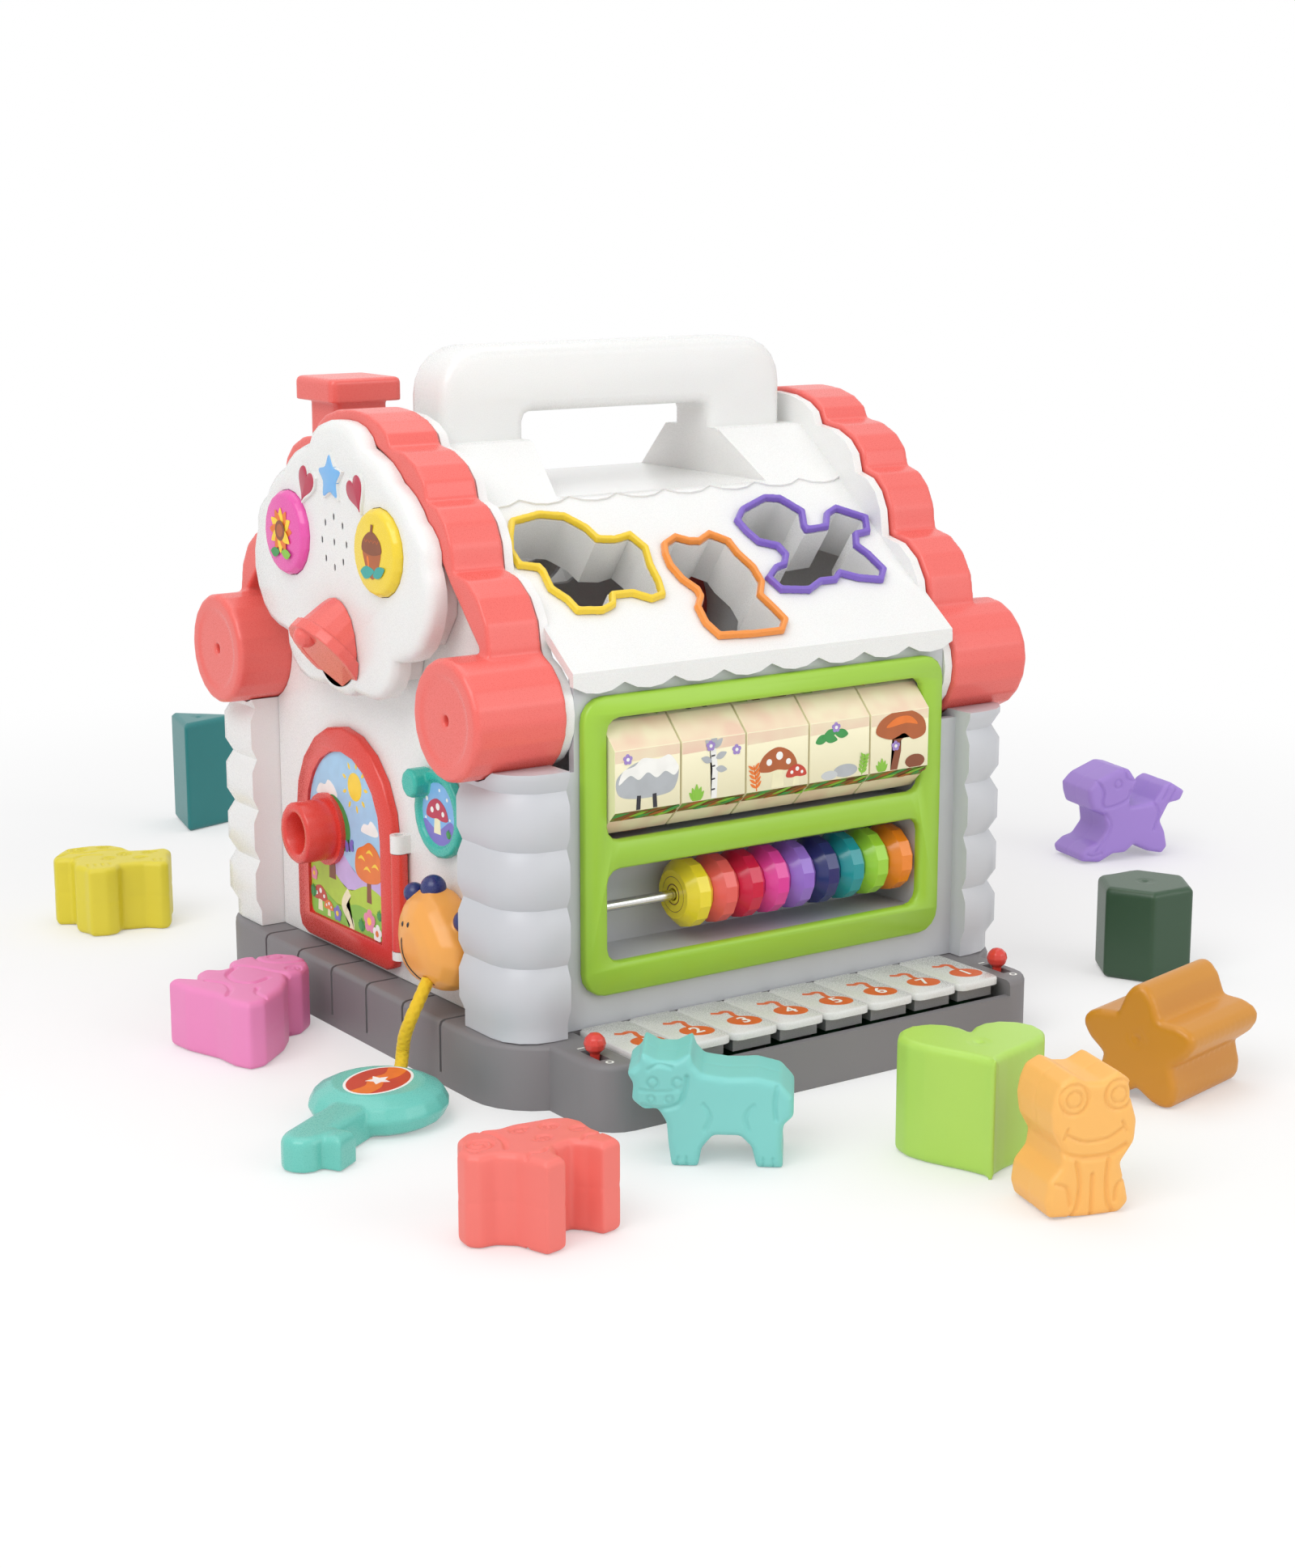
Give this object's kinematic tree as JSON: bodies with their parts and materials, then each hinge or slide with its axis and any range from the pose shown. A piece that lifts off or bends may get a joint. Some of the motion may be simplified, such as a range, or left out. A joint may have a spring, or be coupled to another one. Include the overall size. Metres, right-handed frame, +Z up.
{
  "type": "activity cube",
  "caption": "Toy house activity cube with a piano, turning picture tiles, an abacus, a door, a sounding face plate and shape openings, with its loose shape blocks and toy key.",
  "frame": {"origin": "middle of the base's underside, on the floor", "axes": "+Z up; -Y towards the piano side; -X towards the door side"},
  "size_m": [0.6306, 0.753, 0.291],
  "materials": {
    "abacus_ring_1": "satin",
    "abacus_ring_2": "satin",
    "abacus_ring_3": "satin",
    "abacus_ring_4": "satin",
    "abacus_ring_5": "satin",
    "abacus_ring_6": "satin",
    "abacus_ring_7": "satin",
    "abacus_ring_8": "satin",
    "abacus_ring_9": "satin",
    "abacus_rod": "satin",
    "activity_frame": "satin",
    "animal_head": "satin",
    "base_tray": "matte",
    "battery_cover": "matte",
    "bell_lever": "satin",
    "chimney": "satin",
    "contact_board": "matte",
    "cord": "matte",
    "cow_block": "satin",
    "dog_block": "satin",
    "dog_rim": "satin",
    "door": "satin",
    "flower_block": "satin",
    "frog_block": "satin",
    "frog_rim": "satin",
    "front_wall": "satin",
    "gable_face": "satin",
    "gable_wall_door": "satin",
    "gable_wall_far": "satin",
    "heart_block": "satin",
    "hexagon_block": "satin",
    "mode_slide": "satin",
    "monkey_block": "satin",
    "piano_key_1": "satin",
    "piano_key_2": "satin",
    "piano_key_3": "satin",
    "piano_key_4": "satin",
    "piano_key_5": "satin",
    "piano_key_6": "satin",
    "piano_key_7": "satin",
    "piano_key_8": "satin",
    "picture_tile_1": "satin",
    "picture_tile_2": "satin",
    "picture_tile_3": "satin",
    "picture_tile_4": "satin",
    "picture_tile_5": "satin",
    "pink_button": "satin",
    "ram_block": "satin",
    "rear_wall": "satin",
    "roof_arch_door": "satin",
    "roof_arch_far": "satin",
    "roof_shell": "satin",
    "sheep_block": "satin",
    "sheep_rim": "satin",
    "tile_axle": "satin",
    "toy_key": "satin",
    "triangle_block": "satin",
    "volume_slide": "satin",
    "window_dial": "satin",
    "yellow_button": "satin"
  },
  "bodies": {
    "house": {"base_tray": "base_tray", "battery_cover": "battery_cover", "contact_board": "contact_board", "front_wall": "front_wall", "rear_wall": "rear_wall", "gable_wall_door": "gable_wall_door", "gable_wall_far": "gable_wall_far", "roof_shell": "roof_shell", "sheep_rim": "sheep_rim", "frog_rim": "frog_rim", "dog_rim": "dog_rim", "roof_arch_door": "roof_arch_door", "roof_arch_far": "roof_arch_far", "chimney": "chimney", "gable_face": "gable_face", "animal_head": "animal_head", "activity_frame": "activity_frame", "tile_axle": "tile_axle", "abacus_rod": "abacus_rod", "cord": "cord"},
    "door": {"door": "door"},
    "window_dial": {"window_dial": "window_dial"},
    "bell_lever": {"bell_lever": "bell_lever"},
    "pink_button": {"pink_button": "pink_button"},
    "yellow_button": {"yellow_button": "yellow_button"},
    "piano_key_1": {"piano_key_1": "piano_key_1"},
    "piano_key_2": {"piano_key_2": "piano_key_2"},
    "piano_key_3": {"piano_key_3": "piano_key_3"},
    "piano_key_4": {"piano_key_4": "piano_key_4"},
    "piano_key_5": {"piano_key_5": "piano_key_5"},
    "piano_key_6": {"piano_key_6": "piano_key_6"},
    "piano_key_7": {"piano_key_7": "piano_key_7"},
    "piano_key_8": {"piano_key_8": "piano_key_8"},
    "volume_slide": {"volume_slide": "volume_slide"},
    "mode_slide": {"mode_slide": "mode_slide"},
    "picture_tile_1": {"picture_tile_1": "picture_tile_1"},
    "picture_tile_2": {"picture_tile_2": "picture_tile_2"},
    "picture_tile_3": {"picture_tile_3": "picture_tile_3"},
    "picture_tile_4": {"picture_tile_4": "picture_tile_4"},
    "picture_tile_5": {"picture_tile_5": "picture_tile_5"},
    "abacus_ring_9": {"abacus_ring_9": "abacus_ring_9"},
    "abacus_ring_8": {"abacus_ring_8": "abacus_ring_8"},
    "abacus_ring_7": {"abacus_ring_7": "abacus_ring_7"},
    "abacus_ring_6": {"abacus_ring_6": "abacus_ring_6"},
    "abacus_ring_5": {"abacus_ring_5": "abacus_ring_5"},
    "abacus_ring_4": {"abacus_ring_4": "abacus_ring_4"},
    "abacus_ring_3": {"abacus_ring_3": "abacus_ring_3"},
    "abacus_ring_2": {"abacus_ring_2": "abacus_ring_2"},
    "abacus_ring_1": {"abacus_ring_1": "abacus_ring_1"},
    "triangle_block": {"triangle_block": "triangle_block"},
    "hexagon_block": {"hexagon_block": "hexagon_block"},
    "flower_block": {"flower_block": "flower_block"},
    "heart_block": {"heart_block": "heart_block"},
    "sheep_block": {"sheep_block": "sheep_block"},
    "ram_block": {"ram_block": "ram_block"},
    "cow_block": {"cow_block": "cow_block"},
    "dog_block": {"dog_block": "dog_block"},
    "frog_block": {"frog_block": "frog_block"},
    "monkey_block": {"monkey_block": "monkey_block"},
    "toy_key": {"toy_key": "toy_key"}
  },
  "joints": [
    {"name": "door_hinge", "type": "hinge", "parent": "house", "child": "door", "pos_m": [-0.119, -0.025, 0.08], "axis": [0, 0, 1], "range_deg": [0, 95]},
    {"name": "window_turn", "type": "hinge", "parent": "house", "child": "window_dial", "pos_m": [-0.122, -0.057, 0.107], "axis": [1, 0, 0], "continuous": true},
    {"name": "bell_swing", "type": "hinge", "parent": "house", "child": "bell_lever", "pos_m": [-0.1344, 0, 0.1975], "axis": [0, 1, 0], "range_deg": [0, 20], "stiffness_Nm_per_rad": 0.06, "springref_deg": -6.88},
    {"name": "pink_button_press", "type": "slide", "parent": "house", "child": "pink_button", "axis": [1, 0, 0], "range_m": [0, 0.003], "stiffness_N_per_m": 300, "springref_m": -0.002},
    {"name": "yellow_button_press", "type": "slide", "parent": "house", "child": "yellow_button", "axis": [1, 0, 0], "range_m": [0, 0.003], "stiffness_N_per_m": 300, "springref_m": -0.002},
    {"name": "key_1_press", "type": "hinge", "parent": "house", "child": "piano_key_1", "pos_m": [-0.08225, -0.124, 0.025], "axis": [1, 0, 0], "range_deg": [0, 3.3], "stiffness_Nm_per_rad": 0.12, "springref_deg": -5.73},
    {"name": "key_2_press", "type": "hinge", "parent": "house", "child": "piano_key_2", "pos_m": [-0.05875, -0.124, 0.025], "axis": [1, 0, 0], "range_deg": [0, 3.3], "stiffness_Nm_per_rad": 0.12, "springref_deg": -5.73},
    {"name": "key_3_press", "type": "hinge", "parent": "house", "child": "piano_key_3", "pos_m": [-0.03525, -0.124, 0.025], "axis": [1, 0, 0], "range_deg": [0, 3.3], "stiffness_Nm_per_rad": 0.12, "springref_deg": -5.73},
    {"name": "key_4_press", "type": "hinge", "parent": "house", "child": "piano_key_4", "pos_m": [-0.01175, -0.124, 0.025], "axis": [1, 0, 0], "range_deg": [0, 3.3], "stiffness_Nm_per_rad": 0.12, "springref_deg": -5.73},
    {"name": "key_5_press", "type": "hinge", "parent": "house", "child": "piano_key_5", "pos_m": [0.01175, -0.124, 0.025], "axis": [1, 0, 0], "range_deg": [0, 3.3], "stiffness_Nm_per_rad": 0.12, "springref_deg": -5.73},
    {"name": "key_6_press", "type": "hinge", "parent": "house", "child": "piano_key_6", "pos_m": [0.03525, -0.124, 0.025], "axis": [1, 0, 0], "range_deg": [0, 3.3], "stiffness_Nm_per_rad": 0.12, "springref_deg": -5.73},
    {"name": "key_7_press", "type": "hinge", "parent": "house", "child": "piano_key_7", "pos_m": [0.05875, -0.124, 0.025], "axis": [1, 0, 0], "range_deg": [0, 3.3], "stiffness_Nm_per_rad": 0.12, "springref_deg": -5.73},
    {"name": "key_8_press", "type": "hinge", "parent": "house", "child": "piano_key_8", "pos_m": [0.08225, -0.124, 0.025], "axis": [1, 0, 0], "range_deg": [0, 3.3], "stiffness_Nm_per_rad": 0.12, "springref_deg": -5.73},
    {"name": "volume_switch", "type": "slide", "parent": "house", "child": "volume_slide", "axis": [0, 1, 0], "range_m": [-0.0025, 0.0025]},
    {"name": "mode_switch", "type": "slide", "parent": "house", "child": "mode_slide", "axis": [0, 1, 0], "range_m": [-0.0025, 0.0025]},
    {"name": "tile_1_turn", "type": "hinge", "parent": "house", "child": "picture_tile_1", "pos_m": [-0.0644, -0.106, 0.1284], "axis": [1, 0, 0], "continuous": true},
    {"name": "tile_2_turn", "type": "hinge", "parent": "house", "child": "picture_tile_2", "pos_m": [-0.0322, -0.106, 0.1284], "axis": [1, 0, 0], "continuous": true},
    {"name": "tile_3_turn", "type": "hinge", "parent": "house", "child": "picture_tile_3", "pos_m": [0, -0.106, 0.1284], "axis": [1, 0, 0], "continuous": true},
    {"name": "tile_4_turn", "type": "hinge", "parent": "house", "child": "picture_tile_4", "pos_m": [0.0322, -0.106, 0.1284], "axis": [1, 0, 0], "continuous": true},
    {"name": "tile_5_turn", "type": "hinge", "parent": "house", "child": "picture_tile_5", "pos_m": [0.0644, -0.106, 0.1284], "axis": [1, 0, 0], "continuous": true},
    {"name": "ring_9_slide", "type": "slide", "parent": "house", "child": "abacus_ring_9", "axis": [1, 0, 0], "range_m": [-0.0046, 0]},
    {"name": "ring_8_slide", "type": "slide", "parent": "abacus_ring_9", "child": "abacus_ring_8", "axis": [1, 0, 0], "range_m": [-0.0046, 0]},
    {"name": "ring_7_slide", "type": "slide", "parent": "abacus_ring_8", "child": "abacus_ring_7", "axis": [1, 0, 0], "range_m": [-0.0046, 0]},
    {"name": "ring_6_slide", "type": "slide", "parent": "abacus_ring_7", "child": "abacus_ring_6", "axis": [1, 0, 0], "range_m": [-0.0046, 0]},
    {"name": "ring_5_slide", "type": "slide", "parent": "abacus_ring_6", "child": "abacus_ring_5", "axis": [1, 0, 0], "range_m": [-0.0046, 0]},
    {"name": "ring_4_slide", "type": "slide", "parent": "abacus_ring_5", "child": "abacus_ring_4", "axis": [1, 0, 0], "range_m": [-0.0046, 0]},
    {"name": "ring_3_slide", "type": "slide", "parent": "abacus_ring_4", "child": "abacus_ring_3", "axis": [1, 0, 0], "range_m": [-0.0046, 0]},
    {"name": "ring_2_slide", "type": "slide", "parent": "abacus_ring_3", "child": "abacus_ring_2", "axis": [1, 0, 0], "range_m": [-0.0046, 0]},
    {"name": "ring_1_slide", "type": "slide", "parent": "abacus_ring_2", "child": "abacus_ring_1", "axis": [1, 0, 0], "range_m": [-0.0046, 0]},
    {"name": "triangle_lift", "type": "slide", "parent": "house", "child": "triangle_block", "axis": [0, 0, 1], "range_m": [0, 0.08]},
    {"name": "hexagon_lift", "type": "slide", "parent": "house", "child": "hexagon_block", "axis": [0, 0, 1], "range_m": [0, 0.08]},
    {"name": "flower_lift", "type": "slide", "parent": "house", "child": "flower_block", "axis": [0, 0, 1], "range_m": [0, 0.08]},
    {"name": "heart_lift", "type": "slide", "parent": "house", "child": "heart_block", "axis": [0, 0, 1], "range_m": [0, 0.08]},
    {"name": "sheep_lift", "type": "slide", "parent": "house", "child": "sheep_block", "axis": [0, 0, 1], "range_m": [0, 0.08]},
    {"name": "ram_lift", "type": "slide", "parent": "house", "child": "ram_block", "axis": [0, 0, 1], "range_m": [0, 0.08]},
    {"name": "cow_lift", "type": "slide", "parent": "house", "child": "cow_block", "axis": [0, 0, 1], "range_m": [0, 0.08]},
    {"name": "dog_lift", "type": "slide", "parent": "house", "child": "dog_block", "axis": [0, 0, 1], "range_m": [0, 0.08]},
    {"name": "frog_lift", "type": "slide", "parent": "house", "child": "frog_block", "axis": [0, 0, 1], "range_m": [0, 0.08]},
    {"name": "monkey_slide", "type": "slide", "parent": "house", "child": "monkey_block", "axis": [-1, 0, 0], "range_m": [0, 0.06]},
    {"name": "toy_key_lift", "type": "slide", "parent": "house", "child": "toy_key", "axis": [0, 0, 1], "range_m": [0, 0.012], "deforming": ["cord"]}
  ]
}
